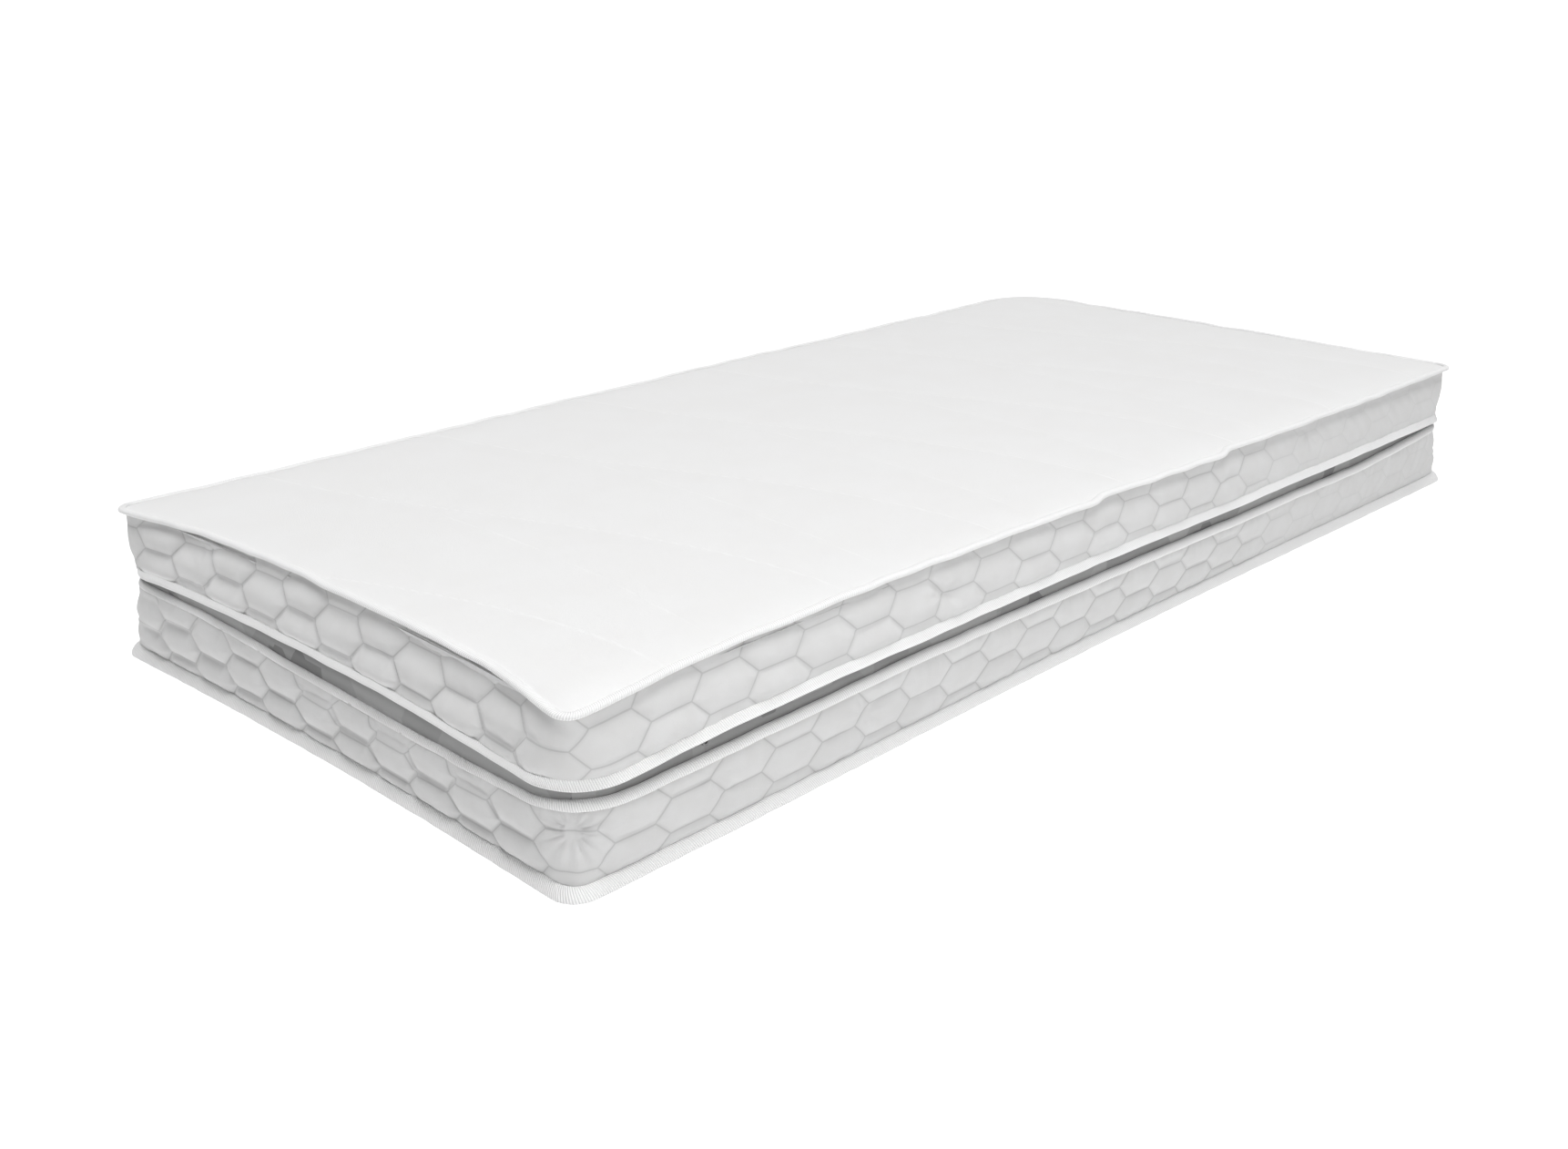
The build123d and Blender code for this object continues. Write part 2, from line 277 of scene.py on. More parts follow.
class Nodes:
    """Builds one material from procedural nodes."""

    def __init__(self, name, roughness, sheen=0.0, metallic=0.0):
        self.material = bpy.data.materials.new(name)
        self.material.use_nodes = True
        self.tree = self.material.node_tree
        self.shader = self.tree.nodes["Principled BSDF"]
        self.shader.inputs["Roughness"].default_value = roughness
        self.shader.inputs["Sheen Weight"].default_value = sheen
        self.shader.inputs["Sheen Roughness"].default_value = 0.5
        self.shader.inputs["Metallic"].default_value = metallic
        materials[name] = self.material

    def node(self, kind, **settings):
        made = self.tree.nodes.new(kind)
        for key, value in settings.items():
            setattr(made, key, value)
        return made

    def give(self, socket, value):
        """A number, colour or another node's output, into a socket."""
        if isinstance(value, bpy.types.NodeSocket):
            self.tree.links.new(value, socket)
        else:
            socket.default_value = value

    def math(self, operation, *values):
        made = self.node("ShaderNodeMath", operation=operation)
        for socket, value in zip(made.inputs, values):
            self.give(socket, value)
        return made.outputs[0]

    def mix(self, factor, first, second):
        made = self.node("ShaderNodeMix", data_type="RGBA")
        for index, value in ((0, factor), (6, first), (7, second)):
            self.give(made.inputs[index], value)
        return made.outputs[2]

    def ramp(self, value, low, high, at_low=0.0, at_high=1.0):
        """Smooth step from at_low to at_high as value goes from low to high."""
        made = self.node("ShaderNodeMapRange", interpolation_type="SMOOTHSTEP")
        for socket, number in zip(made.inputs, (value, low, high, at_low, at_high)):
            self.give(socket, number)
        return made.outputs[0]

    def cloth(self):
        """The cloth's own coordinates in millimetres: along, across, and the vector of both."""
        vector = self.node("ShaderNodeAttribute", attribute_name="cloth").outputs["Vector"]
        parts = self.node("ShaderNodeSeparateXYZ")
        self.give(parts.inputs[0], vector)
        return parts.outputs[0], parts.outputs[1], vector

    def position(self):
        """The object's coordinates in millimetres."""
        place_node = self.node("ShaderNodeTexCoord").outputs["Object"]
        made = self.node("ShaderNodeVectorMath", operation="SCALE")
        self.give(made.inputs[0], place_node)
        made.inputs["Scale"].default_value = 1 / MM
        return made.outputs[0]

    def noise(self, vector, size, detail=2.0):
        """Noise from 0 to 1 with features about size millimetres across."""
        made = self.node("ShaderNodeTexNoise")
        self.give(made.inputs["Vector"], vector)
        made.inputs["Scale"].default_value = 1 / size
        made.inputs["Detail"].default_value = detail
        return made.outputs["Fac"]

    def cells(self, vector, size, distance="EUCLIDEAN"):
        """Cells about size millimetres across; distance is how their edges are measured."""
        made = self.node("ShaderNodeTexVoronoi", distance=distance)
        self.give(made.inputs["Vector"], vector)
        made.inputs["Scale"].default_value = 1 / size
        return made

    def sine(self, value, pitch):
        """A wave from -1 to 1 that repeats every pitch millimetres."""
        return self.math("SINE", self.math("MULTIPLY", value, 2 * math.pi / pitch))

    def finish(self, colour, height=None, depth=1.0):
        """Sets the colour, and the relief: height times depth millimetres."""
        self.give(self.shader.inputs["Base Color"], colour)
        if height is not None:
            bump = self.node("ShaderNodeBump")
            bump.inputs["Distance"].default_value = depth * MM
            self.give(bump.inputs["Height"], height)
            self.give(self.shader.inputs["Normal"], bump.outputs[0])


materials = {}


def grey(value, warm=0.0):
    return (value + warm, value, value - warm, 1.0)


def stitched(nodes, distance, width):
    """1 on a line of stitching, 0 beyond width from it."""
    return nodes.ramp(distance, 0.25 * width, width, 1.0, 0.0)


def fine_knit(nodes, along, across, vector):
    """Relief of small knitted stitches with a little unevenness."""
    stitches = nodes.math("MULTIPLY", nodes.sine(along, 1.7), nodes.sine(across, 1.3))
    uneven = nodes.noise(vector, 2.5, 3.0)
    return nodes.math("ADD", nodes.math("MULTIPLY", stitches, 0.35), uneven)


def make_border_knit():
    nodes = Nodes("border_knit", 0.85, sheen=0.15)
    along, across, vector = nodes.cloth()
    side = nodes.math("PINGPONG", along, HEX_PITCH / 2)
    up = nodes.math("PINGPONG", across, HEX_RISE / 2)
    total = nodes.math("ADD", side, up)
    slant = nodes.math("MULTIPLY", nodes.math("SUBTRACT", HEX_TIP, total), math.sqrt(0.5))
    inside = nodes.math("MINIMUM", slant, nodes.math("SUBTRACT", HEX_RISE / 2, up))
    outside = nodes.math("MINIMUM", nodes.math("MULTIPLY", slant, -1.0), up)
    distance = nodes.math("MAXIMUM", inside, outside)
    parts = nodes.node("ShaderNodeSeparateXYZ")
    nodes.give(parts.inputs[0], vector)
    firm = nodes.math("MULTIPLY_ADD", parts.outputs[2], -0.8, 1.0)
    line = stitched(nodes, distance, 1.3)
    knit = fine_knit(nodes, along, across, vector)
    cloud = nodes.ramp(nodes.noise(vector, 40.0), 0.3, 0.7)
    plain = nodes.mix(cloud, grey(0.69, 0.002), grey(0.72))
    # Painted shade: the knit is darkened within 5 mm of each seam, as if in the crease between puffs; firm
    # weakens it where the quilting is stretched flat.
    near = nodes.math("MULTIPLY", nodes.ramp(distance, 0.0, 5.0, 0.16, 0.0), firm)
    hollow = nodes.mix(near, plain, grey(0.40))
    # Dark line on each seam: partly the stitching and partly painted groove shade, also weaker where the
    # cloth is stretched flat.
    colour = nodes.mix(nodes.math("MULTIPLY", nodes.math("MULTIPLY", line, 0.38), firm), hollow, grey(0.36))
    nodes.finish(colour, knit, 0.35)


def make_top_knit():
    nodes = Nodes("top_knit", 0.85, sheen=0.15)
    along, across, vector = nodes.cloth()
    knit = fine_knit(nodes, along, across, vector)
    strong = stitched(nodes, nodes.node("ShaderNodeAttribute", attribute_name="strong").outputs["Fac"], 3.6)
    faint = stitched(nodes, nodes.node("ShaderNodeAttribute", attribute_name="faint").outputs["Fac"], 3.2)
    line = nodes.math("MAXIMUM", strong, nodes.math("MULTIPLY", faint, 0.7))
    cloud = nodes.ramp(nodes.noise(vector, 60.0), 0.3, 0.7)
    plain = nodes.mix(cloud, grey(0.79, 0.002), grey(0.80))
    colour = nodes.mix(line, plain, grey(0.83))
    nodes.finish(colour, nodes.math("SUBTRACT", knit, line), 0.3)


def make_ribbed_tape(name, light, dark):
    nodes = Nodes(name, 0.7, sheen=0.1)
    along, across, vector = nodes.cloth()
    leaning = nodes.math("MULTIPLY_ADD", across, 0.35, along)
    rib = nodes.sine(leaning, 2.9)
    # Painted shade: the valleys between the ribs are coloured darker, as if shaded by the ribs.
    valley = nodes.ramp(rib, -1.0, 0.0, 1.0, 0.0)
    colour = nodes.mix(valley, grey(light), grey(dark))
    weave = nodes.math("MULTIPLY", nodes.noise(vector, 0.9), 0.5)
    nodes.finish(colour, nodes.math("ADD", rib, weave), 0.3)


def make_gusset_fabric():
    nodes = Nodes("gusset_fabric", 0.8)
    along, across, vector = nodes.cloth()
    big = nodes.cells(vector, 105.0, distance="CHEBYCHEV")
    small = nodes.cells(vector, 46.0, distance="MANHATTAN")
    shade = nodes.node("ShaderNodeSeparateColor")
    nodes.give(shade.inputs[0], big.outputs["Color"])
    fleck = nodes.node("ShaderNodeSeparateColor")
    nodes.give(fleck.inputs[0], small.outputs["Color"])
    steps = nodes.math("SNAP", shade.outputs[0], 0.34)
    base = nodes.mix(steps, grey(0.32), grey(0.46))
    dark = nodes.math("GREATER_THAN", fleck.outputs[1], 0.84)
    colour = nodes.mix(dark, base, grey(0.21))
    threads = nodes.math("ADD", nodes.sine(along, 1.1), nodes.sine(across, 0.9))
    nodes.finish(colour, threads, 0.12)


def make_plain_weave(name, light, dark, pitch, depth):
    """Small over-and-under weave."""
    nodes = Nodes(name, 0.85)
    along, across, vector = nodes.cloth()
    threads = nodes.math("MULTIPLY", nodes.sine(along, pitch), nodes.sine(across, pitch))
    cloud = nodes.noise(vector, 25.0)
    # Painted shade: the weave is coloured darker where its threads dip.
    colour = nodes.mix(nodes.ramp(threads, -1.0, 1.0), dark, nodes.mix(cloud, light, dark))
    nodes.finish(colour, threads, depth)


def make_fibres(name, light, dark, size, depth):
    """Loose fibres pressed together."""
    nodes = Nodes(name, 0.95, sheen=0.3)
    vector = nodes.position()
    coarse = nodes.noise(vector, 6 * size, 4.0)
    fine = nodes.noise(vector, size, 4.0)
    colour = nodes.mix(nodes.ramp(coarse, 0.3, 0.7), dark, light)
    nodes.finish(colour, nodes.math("ADD", coarse, fine), depth)


def make_foam(name, light, dark, size):
    """Open cells cut across, with a few larger ones."""
    nodes = Nodes(name, 0.9)
    vector = nodes.position()
    pores = nodes.ramp(nodes.cells(vector, size).outputs["Distance"], 0.15, 0.6)
    cloud = nodes.noise(vector, 30.0)
    # Painted shade: each pore is coloured darker towards its middle, as if shaded inside.
    colour = nodes.mix(pores, dark, nodes.mix(cloud, light, dark))
    nodes.finish(colour, pores, 0.5)


def make_zip_coil():
    nodes = Nodes("zip_coil", 0.35)
    vector = nodes.position()
    cloud = nodes.noise(vector, 4.0)
    nodes.finish(nodes.mix(cloud, grey(0.10), grey(0.16)), cloud, 0.05)


def make_zip_metal():
    nodes = Nodes("zip_metal", 0.38, metallic=1.0)
    vector = nodes.position()
    cloud = nodes.noise(vector, 3.0, 4.0)
    grain = nodes.noise(vector, 0.3, 2.0)
    colour = nodes.mix(nodes.ramp(cloud, 0.3, 0.7), grey(0.16), grey(0.24))
    nodes.give(nodes.shader.inputs["Roughness"], nodes.ramp(grain, 0.3, 0.7, 0.3, 0.46))
    nodes.finish(colour, grain, 0.02)


make_border_knit()
make_top_knit()
make_ribbed_tape("ribbed_tape", 0.985, 0.78)
# The top binding is the same ribbed tape, painted dimmer as shade to offset the stronger overhead light on
# the top edge.
make_ribbed_tape("edge_tape_painted_dimmer", 0.94, 0.76)
make_gusset_fabric()
make_plain_weave("base_fabric", grey(0.62), grey(0.50), 1.8, 0.2)
make_plain_weave("liner_knit", grey(0.80), grey(0.68), 1.4, 0.15)
make_plain_weave("zip_tape", grey(0.22), grey(0.14), 1.0, 0.1)
make_fibres("wadding", grey(0.88), grey(0.78), 1.2, 0.6)
make_fibres("backing", grey(0.80), grey(0.68), 0.6, 0.15)
make_foam("memory_foam", (0.80, 0.82, 0.84, 1), (0.62, 0.66, 0.70, 1), 1.2)
make_foam("transition_foam", (0.44, 0.60, 0.74, 1), (0.30, 0.44, 0.58, 1), 1.5)
make_foam("support_foam", (0.80, 0.79, 0.74, 1), (0.62, 0.60, 0.54, 1), 1.8)
make_zip_coil()
make_zip_metal()


# ---------------------------------------------------------------- mesh building


def make_piece(name, points, faces, cloth, material, body, replaced):
    """A piece of the mattress, with its cloth coordinates at each face corner."""
    points = points.reshape(-1, 3)
    corners = points[faces] - points.mean(axis=0)
    volume = 0.0
    for second, third in ((1, 2), (2, 3)):
        volume += np.einsum("ij,ij->", corners[:, 0], np.cross(corners[:, second], corners[:, third]))
    if volume < 0:
        faces = faces[:, ::-1]
        cloth = cloth[:, ::-1]
    mesh = bpy.data.meshes.new(name)
    mesh.vertices.add(len(points))
    mesh.vertices.foreach_set("co", (points * MM).astype(np.float32).ravel())
    mesh.loops.add(faces.size)
    mesh.loops.foreach_set("vertex_index", faces.astype(np.int32).ravel())
    mesh.polygons.add(len(faces))
    mesh.polygons.foreach_set("loop_start", np.arange(len(faces), dtype=np.int32) * 4)
    mesh.polygons.foreach_set("use_smooth", np.ones(len(faces), dtype=bool))
    mesh.update(calc_edges=True)
    attribute = mesh.attributes.new("cloth", "FLOAT_VECTOR", "CORNER")
    attribute.data.foreach_set("vector", cloth.astype(np.float32).ravel())
    mesh.materials.append(materials[material])
    piece = bpy.data.objects.new(name, mesh)
    scene.collection.objects.link(piece)
    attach(piece, body)
    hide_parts(replaced)
    return piece


def grid_quads(rows, columns, wrap_rows=False, wrap_columns=False):
    """Quads of a grid as (row, column) pairs; a joined end has the next number up."""
    row, column = np.meshgrid(
        np.arange(rows - 1 + wrap_rows), np.arange(columns - 1 + wrap_columns), indexing="ij"
    )
    steps = ((0, 0), (0, 1), (1, 1), (1, 0))
    quads = [np.stack([row + down, column + right], axis=-1) for down, right in steps]
    return np.stack(quads, axis=-2).reshape(-1, 4, 2)


def sweep(name, p, rows, along, across, material, body, replaced, slack=None):
    """A closed band: rows of (inset, radius, out, z) round all the places p."""
    points = np.stack([place(p, *row) for row in rows])
    quads = grid_quads(len(rows), len(p), True, True)
    faces = quads[..., 0] % len(rows) * len(p) + quads[..., 1] % len(p)
    cloth = np.zeros(quads.shape[:2] + (3,))
    cloth[..., 0] = along[quads[..., 1]]
    cloth[..., 1] = across[quads[..., 0]]
    if slack is not None:
        cloth[..., 2] = slack[quads[..., 1] % len(p)]
    return make_piece(name, points, faces, cloth, material, body, replaced)


def rounded(corners, rounds=2):
    """A closed profile with its corners cut off again and again."""
    points = np.array(corners, float)
    for _ in range(rounds):
        following = np.roll(points, -1, axis=0)
        cut = np.stack([0.75 * points + 0.25 * following, 0.25 * points + 0.75 * following], axis=1)
        points = cut.reshape(-1, 2)
    return points


TAPE_STEP = 5.0


def tape(name, profile, shape, material, body, replaced):
    """A tape all the way round. profile is (out, up); shape(p, up) is its (inset, radius, out, z)."""
    profile = rounded(profile)
    p = round_places(TAPE_STEP)
    rows = []
    for out, up in profile:
        inset, radius, more_out, height = shape(p, up)
        rows.append((inset, radius, out + more_out, up + height))
    loop = np.concatenate([profile, profile[:1]])
    across = np.concatenate([[0.0], np.cumsum(np.linalg.norm(np.diff(loop, axis=0), axis=1))])
    piece = sweep(name, p, rows, np.append(p, PERIMETER), across, material, body, replaced)


def patch(p_inset, radius, heights, step):
    """Points filling an outline, each with its distance-based share of the crown, 0 at the edge."""
    columns = round(2 * HALF_LENGTH / step) + 1
    rows = round(2 * HALF_WIDTH / step) + 1
    u = np.linspace(0, 1, columns)[:, None, None]
    v = np.linspace(0, 1, rows)[None, :, None]

    def edge(p):
        return place(p, p_inset(p), radius(p), 0.0, heights(p))

    front = edge(u[..., 0] * SIDE_LENGTHS[0])
    right = edge(SIDE_STARTS[1] + v[..., 0] * SIDE_LENGTHS[1])
    back = edge(SIDE_ENDS[2] - u[..., 0] * SIDE_LENGTHS[2])
    left = edge(SIDE_ENDS[3] - v[..., 0] * SIDE_LENGTHS[3])
    ruled = (1 - v) * front + v * back + (1 - u) * left + u * right
    corners = (1 - u) * (1 - v) * front[:1] + u * (1 - v) * front[-1:]
    corners = corners + (1 - u) * v * back[:1] + u * v * back[-1:]
    points = ruled - corners
    share = 1.0
    for side in (front, right, back, left):
        distance = np.linalg.norm((points - side)[..., :2], axis=-1)
        share = share * (1 - np.exp(-distance / 20.0))
    return points, share


def closed_pad(top, bottom):
    """Faces and cloth coordinates of a slab between two grids of points."""
    columns, rows = top.shape[:2]
    quads = grid_quads(columns, rows)
    index = np.arange(columns * rows).reshape(columns, rows)
    faces = index[quads[..., 0], quads[..., 1]]
    rim = np.concatenate([index[:-1, 0], index[-1, :-1], index[:0:-1, -1], index[0, :0:-1]])
    after = np.roll(rim, -1)
    offset = columns * rows
    side = np.stack([rim, rim + offset, after + offset, after], axis=-1)
    faces = np.concatenate([faces, faces[:, ::-1] + offset, side])
    points = np.concatenate([top.reshape(-1, 3), bottom.reshape(-1, 3)])
    return points, faces, points[faces]


def slab_shape(inset, radius, bows, low, high, step):
    """Points, faces and cloth coordinates of a flat pad between two heights."""
    points, _ = patch(lambda p: inset + bow(p, bows), lambda p: radius + 0 * p, lambda p: 0 * p, step)
    top, bottom = points.copy(), points.copy()
    top[..., 2] = high
    bottom[..., 2] = low
    return closed_pad(top, bottom)


def slab(name, inset, radius, bows, low, high, step, material, body, replaced):
    """A flat pad between two heights."""
    shape = slab_shape(inset, radius, bows, low, high, step)
    return make_piece(name, *shape, material, body, replaced)


# ---------------------------------------------------------------- shapes that several pieces share

top_seam_course = course(TOP_SEAM)
top_bow_course = course(TOP_BOW)
flap_course = course(FLAP_LOW)
lower_tape_course = course(LOWER_TAPE_HIGH)


def top_radius(p):
    """The top edge's corner radius; the back corner is the roundest."""
    return np.array(TOP_RADII)[locate(p)[1]]


def top_inset(p):
    """The top edge is drawn in between its corners, a little unevenly."""
    far = 1 - nearness(p, 130.0)
    return TOP_INSET + far * (5.0 + waves(p, 1, 1.4, 500, 80)) + top_bow_course(p) + jog(p)


def top_seam(p):
    """Height of the top edge's seam."""
    return top_seam_course(p) + (1 - nearness(p, 110.0)) * waves(p, 2, 0.9, 500, 70) + 0.3 * jog(p)


def waist_out(p):
    """The waist's bow, with small bulges and hollows."""
    return (1 - nearness(p, 80.0)) * waves(p, 3, 0.5, 500, 60) - bow(p, WAIST_BOW)


def flap_low(p):
    return flap_course(p) + (1 - nearness(p, 60.0)) * waves(p, 4, 0.5, 400, 80)


def lower_tape_high(p):
    return lower_tape_course(p) + (1 - nearness(p, 60.0)) * waves(p, 5, 0.5, 400, 70)


def bottom_out(p):
    """The bottom edge's bow, with small bulges and hollows."""
    return (1 - nearness(p, 60.0)) * waves(p, 6, 0.5, 400, 40) - bow(p, BOTTOM_BOW)


def bottom_lift(p):
    """The bottom edge lies flat, but its seam rises a little at the corners."""
    return 0.6 + 1.5 * nearness(p, 60.0)


# ---------------------------------------------------------------- borders

BORDER_STEP = 2.5
UPPER_HEIGHT = 70.0
LOWER_HEIGHT = 82.0

# Depths behind the face's outer side, and the gap that keeps the wadding from poking through the face
FACE = 1.2
WADDING = 6.0
BACKING = 0.8
WADDING_GAP = 1.4

# How much of the upper border's lower edge has no wadding, as the zip is sewn to the face alone there
HEM = 9.0

UPPER_STARS = ((560.0, 160.0, 7, 0.4, 1.2), (1420.0, 172.0, 6, 1.0, 1.0), (4900.0, 158.0, 7, 2.0, 1.0))
LOWER_STARS = ((0.0, 68.0, 13, 0.3, 1.9), (196.0, 70.0, 8, 1.5, 0.9), (420.0, 62.0, 8, 0.8, 0.9),
               (1900.0, 52.0, 8, 0.3, 1.2), (4700.0, 52.0, 8, 0.3, 1.2), (2800.0, 52.0, 8, 0.3, 1.2))


def hanging_lip(p):
    """1 where the top edge hangs out furthest over the short side, near the near corner."""
    signed = np.mod(p + PERIMETER / 2, PERIMETER) - PERIMETER / 2
    return np.exp(-(((signed + 210.0) / 150.0) ** 2))


def upper_ends(p):
    """(inset, radius, z) of the upper border's lower and upper edges."""
    forward = 1.5 * np.maximum(shortness(p), 0)
    low = (WAIST_INSET - waist_out(p) - forward, WAIST_RADIUS, flap_low(p) + 9.0 + 2.0 * shortness(p))
    under = 6.5 + 1.5 * hanging_lip(p)
    high = (top_inset(p) + under, top_radius(p) - under, top_seam(p) - 2.5)
    return low, high


def lower_ends(p):
    """(inset, radius, z) of the lower border's lower and upper edges."""
    low = (BOTTOM_INSET + 8.0 - bottom_out(p), BOTTOM_RADIUS - 8.0, bottom_lift(p) + 9.0)
    short = np.maximum(shortness(p), 0)
    high = (WAIST_INSET - waist_out(p) - 1.2 * short, WAIST_RADIUS, lower_tape_high(p) - 8.0 + 2.4 * short)
    return low, high


def depth_of_quilting(p):
    """The short sides puff out more than the long ones, and the corners are pulled tight."""
    return (1.0 + 0.25 * shortness(p)) * (1 - 0.85 * nearness(p, 50.0))


def slackness(p):
    """1 along the far half of the front side, where the quilting is stretched flat."""
    return 1 / (1 + np.exp(-(p - 1290.0) / 45.0)) / (1 + np.exp((p - 1960.0) / 20.0))


def firmness(p):
    """How strongly the quilting stands out: less where the cloth is stretched flat."""
    return 1 - 0.75 * slackness(p)


def soft_puff(distance):
    """A quilted cell's puff with a rounded valley on its seams."""
    return puff(np.hypot(distance, 1.6) - 1.6, 20.0)


def away_from_seam(distance, reach):
    """0 at a seam, rising to 1 beyond about reach from it."""
    return 1 - np.exp(-((distance / reach) ** 2))


def upper_relief(p, z, v):
    """How far the upper border's face stands out; v runs from 0 at its lower edge to 1 at its upper."""
    distance = hex_distance(cell_place(p, UPPER_CELLS), z - UPPER_CELLS[4] + waves(p, 11, 1.2, 800, 150))
    near_low = away_from_seam(v * UPPER_HEIGHT, 7.0)
    near_high = away_from_seam((1 - v) * UPPER_HEIGHT, 14.0 + 9.0 * hanging_lip(p))
    relief = 6.6 * firmness(p) * soft_puff(distance) * near_low * near_high * depth_of_quilting(p)
    relief = relief + 2.5 * np.sin(math.pi * v ** 0.8) * near_high
    for centre, height, arms, phase, size in UPPER_STARS:
        relief = relief + near_low * near_high * star(p, z, centre, height, arms, phase, size)
    gathers = waves(p, 12, 0.8, 90, 14) * np.exp(-v * 9) + waves(p, 13, 0.7, 120, 20) * np.exp(-(1 - v) * 7)
    wrinkles = slackness(p) * near_low * near_high * waves(p + 60 * v, 17, 0.7, 160, 30)
    return relief + gathers + wrinkles


def lower_relief(p, z, v):
    """How far the lower border's face stands out; v runs as for the upper one."""
    distance = hex_distance(cell_place(p, LOWER_CELLS), z - LOWER_CELLS[4] + waves(p, 14, 1.2, 800, 150))
    near_low = away_from_seam(v * LOWER_HEIGHT, 8.0)
    near_high = away_from_seam((1 - v) * LOWER_HEIGHT, 8.0)
    relief = 6.4 * firmness(p) * soft_puff(distance) * near_low * near_high * depth_of_quilting(p)
    relief = relief + 2.0 * np.sin(math.pi * v) ** 0.8
    for centre, height, arms, phase, size in LOWER_STARS:
        relief = relief + near_low * near_high * star(p, z, centre, height, arms, phase, size)
    gathers = waves(p, 15, 1.0, 90, 14) * np.exp(-(1 - v) * 8) + waves(p, 16, 0.5, 120, 20) * np.exp(-v * 9)
    wrinkles = slackness(p) * near_low * near_high * waves(p - 50 * v, 18, 0.7, 160, 30)
    return relief + gathers + wrinkles


def border_rows(p, ends, relief, count, outer, inner, share):
    """Rows of one layer of a border: its outer side going up, then its inner side coming down."""
    low, high = ends(p)
    rows = []
    for v, depth in [(k / (count - 1), outer) for k in range(count)] + [
        (1 - k / (count - 1), inner) for k in range(count)
    ]:
        inset, radius, z = (a + (b - a) * v for a, b in zip(low, high))
        rows.append((inset, radius, share(depth) * relief(p, z, v) - depth, z))
    return rows


def hem_of(ends):
    """The same border's ends without its hem."""
    def shorter(p):
        (inset, radius, z), high = ends(p)
        return (inset, radius, z + HEM), high
    return shorter


def border_layer(name, ends, relief, cells, depths, count, step, material, body, replaced):
    """One layer of a quilted border: the face, the wadding or the backing."""

    def share(depth):
        return max(0.0, 1 - depth / (FACE + WADDING))

    p = round_places(step)
    rows = border_rows(p, ends, relief, count, depths[0], depths[1], share)
    across = [float(np.mean(row[3])) - cells[4] for row in rows]
    along = cell_place(p, cells)
    along = np.append(along, along[0])
    across = np.append(across, across[0])
    return sweep(name, p, rows, along, across, material, body, replaced, slackness(p))


def border(half, ends, inner_ends, relief, cells, count, body):
    """One half's quilted border: its face, its wadding and its backing."""
    back = FACE + WADDING
    face = border_layer(
        f"{half}_border", ends, relief, cells, (0.0, FACE), count, BORDER_STEP,
        "border_knit", body, f"{half}_border_face",
    )
    filling = border_layer(
        f"{half}_border_filling", inner_ends, relief, cells, (FACE + WADDING_GAP, back), 18, 5.0,
        "wadding", body, f"{half}_border_wadding",
    )
    lining = border_layer(
        f"{half}_border_lining", inner_ends, relief, cells, (back, back + BACKING), 3, 10.0,
        "backing", body, f"{half}_border_backing",
    )


border("upper", upper_ends, hem_of(upper_ends), upper_relief, UPPER_CELLS, 27, "top_cover")
border("lower", lower_ends, lower_ends, lower_relief, LOWER_CELLS, 34, "lower_cover")


# ---------------------------------------------------------------- tapes and gusset

TOP_BINDING = [
    (-8.5, -0.6), (-7.8, 0.9), (-5, 1.8), (-2, 1.9), (0.8, 1.0), (2.2, -1.0), (1.9, -3.4),
    (0, -4.5), (-3, -4.3), (-5, -3), (-8.5, -2.2),
]
BOTTOM_BINDING = [
    (-13, 0), (-6, 0), (1.2, 0), (3.9, 0.7), (4.2, 2.4), (2.6, 5.4),
    (-0.6, 9.2), (-4.6, 12.6), (-8.5, 13), (-8, 8), (-13, 3),
]
FLAP = [
    (0.6, 0.6), (2, -0.4), (3.7, 0.3), (4.2, 1.8), (3.1, 3.4), (2.4, 8),
    (1.9, 12), (1.2, 13.4), (-0.5, 13.5), (0.2, 10), (0.7, 7), (1.0, 3),
]
LOWER_TAPE = [
    (1.6, -10.6), (3.2, -10), (3.6, -8), (2.6, -4.4), (0.2, -1), (-3.5, 0.2),
    (-7, -1), (-8.6, -4), (-8, -7), (-7.6, -3.5), (-3, -2.2), (-0.4, -4), (0.2, -9),
]


def top_binding_shape(p, up):
    return top_inset(p), top_radius(p), 0.0, top_seam(p)


def bottom_binding_shape(p, up):
    return BOTTOM_INSET, BOTTOM_RADIUS, bottom_out(p), (bottom_lift(p) - 0.6) * min(up / 8, 1)


def flap_shape(p, up):
    """The flap leans in towards its lower edge on the short sides, and out on the long ones."""
    lean = 0.06 + 0.38 * shortness(p)
    turning = 10.5 - 1.5 * shortness(p)
    taller = 0.17 * shortness(p) - 0.06
    return WAIST_INSET, WAIST_RADIUS, waist_out(p) + lean * (up - turning), flap_low(p) + taller * up


def lower_tape_shape(p, up):
    """The lower tape leans back towards its upper edge, most on the short sides."""
    lean = -0.2 - 0.15 * shortness(p)
    lower = 0.3 * np.maximum(shortness(p), 0) * up
    return WAIST_INSET, WAIST_RADIUS, waist_out(p) + lean * (up + 12.0), lower_tape_high(p) - lower


tape("top_binding", TOP_BINDING, top_binding_shape, "edge_tape_painted_dimmer", "top_cover", "top_edge_binding")
tape("bottom_binding", BOTTOM_BINDING, bottom_binding_shape, "ribbed_tape", "lower_cover",
     "bottom_edge_binding")
tape("flap", FLAP, flap_shape, "ribbed_tape", "top_cover", "flap_tape")
tape("lower_waist_tape", LOWER_TAPE, lower_tape_shape, "ribbed_tape", "lower_cover", "lower_tape")


GUSSET_THICKNESS = 1.2
GUSSET_BULGE = 2.0
ZIP_TAPE_THICKNESS = 0.8
# The gusset comes up from just under the lower tape's upper edge
GUSSET_TUCK = 1.8


